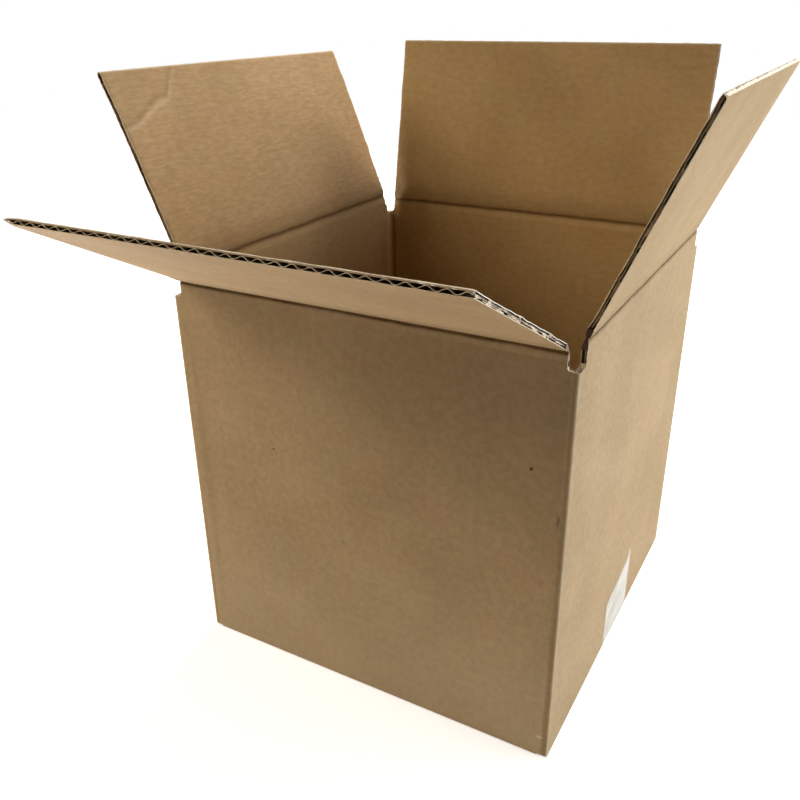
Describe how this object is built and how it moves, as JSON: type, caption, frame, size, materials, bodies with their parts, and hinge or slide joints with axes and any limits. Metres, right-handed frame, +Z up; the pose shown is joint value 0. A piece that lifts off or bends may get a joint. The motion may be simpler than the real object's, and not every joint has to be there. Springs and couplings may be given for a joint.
{
  "type": "open cardboard box",
  "caption": "Open corrugated cardboard box, its bottom shut and taped and its top flaps hinged outward, for packing and shipping goods.",
  "frame": {"origin": "on the floor under the middle of the four walls, on the face that the box rests on", "axes": "+X to the right along the front wall, +Y from the front wall to the back wall, +Z up"},
  "size_m": [0.3248, 0.3655, 0.3578],
  "materials": {
    "kraft_board": "matt unbleached kraft facing",
    "clear_tape": "clear glossy film"
  },
  "bodies": {
    "box": {"carton": "kraft_board", "bottom_tape": "clear_tape"},
    "flap_front": {"flap_front": "kraft_board"},
    "flap_right": {"flap_right": "kraft_board"},
    "flap_back": {"flap_back": "kraft_board"},
    "flap_left": {"flap_left": "kraft_board"}
  },
  "joints": [
    {"name": "front_flap_hinge", "type": "hinge", "parent": "box", "child": "flap_front", "pos_m": [0, -0.122, 0.2436], "axis": [1, 0, 0], "range_deg": [-152, 113]},
    {"name": "right_flap_hinge", "type": "hinge", "parent": "box", "child": "flap_right", "pos_m": [0.1185, 0, 0.247], "axis": [0, 1, 0], "range_deg": [-112.9, 152.1]},
    {"name": "back_flap_hinge", "type": "hinge", "parent": "box", "child": "flap_back", "pos_m": [0, 0.122, 0.2436], "axis": [-1, 0, 0], "range_deg": [-99.8, 165.2]},
    {"name": "left_flap_hinge", "type": "hinge", "parent": "box", "child": "flap_left", "pos_m": [-0.1185, 0, 0.247], "axis": [0, -1, 0], "range_deg": [-113.1, 151.9]}
  ]
}
